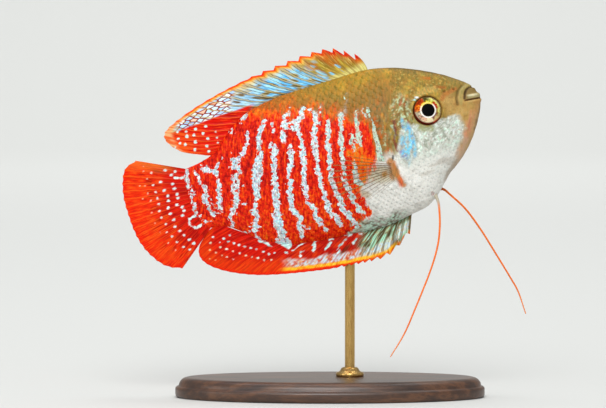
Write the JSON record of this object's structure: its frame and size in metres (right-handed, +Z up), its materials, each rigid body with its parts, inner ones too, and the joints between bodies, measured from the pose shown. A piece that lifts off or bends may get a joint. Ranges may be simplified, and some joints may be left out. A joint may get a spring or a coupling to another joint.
{
  "type": "dwarf gourami model",
  "caption": "Life-size model of a male dwarf gourami swimming nose up, with spread ribbed fins and long thread-like pelvic fins, held on an oval base by a rod.",
  "frame": {"origin": "centre of the underside of the stand's oval base", "axes": "+Z up, +X the way the head points and the long way of the base, +Y towards the fish's left side"},
  "size_m": [0.0813, 0.032, 0.0699],
  "materials": {
    "skin": "scaled fish skin, red flanks with pale blue bars, olive back, silver belly",
    "iris": "glossy gold and red-brown iris under a clear cornea",
    "pupil": "glossy black",
    "dorsal_fin": "satin ribbed membrane, blue and yellow with a red margin",
    "anal_fin": "satin ribbed membrane, red and blue-green with a yellow and red margin",
    "caudal_fin": "satin ribbed membrane, red with pale dots",
    "pectoral_fin": "thin translucent membrane with fine rays",
    "pelvic_thread": "satin orange thread",
    "walnut": "oiled dark walnut",
    "rod_brass": "brushed"
  },
  "bodies": {
    "root": {"head": "skin", "upper_lip": "skin", "lower_jaw": "skin", "gill_cover_right": "skin", "gill_cover_left": "skin", "trunk": "skin", "tail_stalk": "skin", "eye_right": "iris", "eye_left": "iris", "pupil_right": "pupil", "pupil_left": "pupil", "dorsal_fin": "dorsal_fin", "anal_fin": "anal_fin", "caudal_fin": "caudal_fin", "pectoral_fin_right": "pectoral_fin", "pectoral_fin_left": "pectoral_fin", "pelvic_thread_right": "pelvic_thread", "pelvic_thread_left": "pelvic_thread", "stand_base": "walnut", "stand_rod": "rod_brass", "stand_collar": "rod_brass"}
  },
  "joints": []
}
